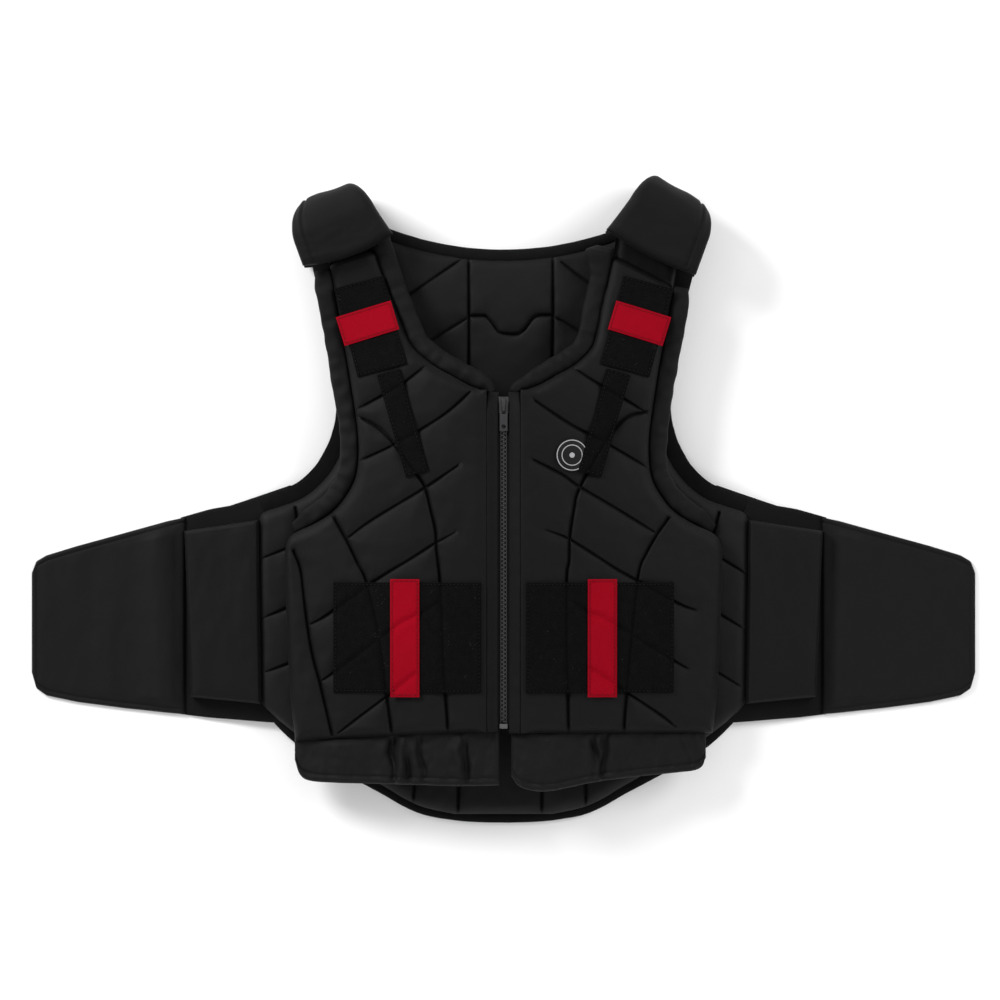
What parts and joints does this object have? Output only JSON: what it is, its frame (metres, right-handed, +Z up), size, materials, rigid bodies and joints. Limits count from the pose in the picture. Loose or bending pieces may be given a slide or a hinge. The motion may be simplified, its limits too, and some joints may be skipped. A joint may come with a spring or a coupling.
{
  "type": "equestrian body protector",
  "caption": "Padded riding vest of foam blocks laid on its back: front zip, side wings, loop tapes, red markers and shoulder caps.",
  "frame": {"origin": "middle of the footprint on the surface that the vest lies on, as it lies on its back with the front up", "axes": "+X towards the wearer's left, +Y from the tail towards the shoulders, +Z up through the front panels"},
  "size_m": [0.8806, 0.595, 0.0793],
  "materials": {
    "shell": "matt black woven nylon over foam blocks, sewn down in grooves",
    "band": "matt black stretch cloth rolled over a soft edge",
    "trim": "flat black knitted tape and mesh",
    "loop": "fuzzy black loop tape",
    "marker": "red woven ribbon with a soft sheen",
    "badge": "dark rubber disc with a pale printed ring",
    "teeth": "moulded dark grey zip teeth",
    "metal": "gunmetal, slightly worn"
  },
  "bodies": {
    "vest": {"back_panel": "shell", "back_neck_binding": "trim", "tail_binding": "trim", "badge": "badge", "zip_stop": "teeth", "zip_slider": "metal", "armhole_border_left": "trim", "armhole_border_right": "trim", "wing_panel_left": "trim", "wing_panel_right": "trim", "wing_pad_left": "shell", "wing_pad_right": "shell", "wing_flap_left": "shell", "wing_flap_right": "shell", "front_panel_left": "shell", "front_panel_right": "shell", "hem_flap_left": "shell", "hem_flap_right": "shell", "zip_teeth_left": "teeth", "zip_teeth_right": "teeth", "neck_band_left": "band", "neck_band_right": "band", "armhole_band_left": "band", "armhole_band_right": "band", "chest_loop_tape_left": "loop", "chest_loop_tape_right": "loop", "chest_marker_left": "marker", "chest_marker_right": "marker", "shoulder_loop_tape_left": "loop", "shoulder_loop_tape_right": "loop", "shoulder_marker_left": "marker", "shoulder_marker_right": "marker", "narrow_tape_left": "loop", "narrow_tape_right": "loop", "zip_placket_left": "trim", "zip_placket_right": "trim", "zip_tape_left": "trim", "zip_tape_right": "trim", "shoulder_cap_left": "shell", "shoulder_cap_right": "shell", "shoulder_strap_left": "trim", "shoulder_strap_right": "trim"},
    "zip_pull": {"zip_pull": "metal"}
  },
  "joints": [
    {"name": "zip_pull_swing", "type": "hinge", "parent": "vest", "child": "zip_pull", "pos_m": [0, 0.08982, 0.0742], "axis": [-1, 0, 0], "range_deg": [0, 170]}
  ]
}
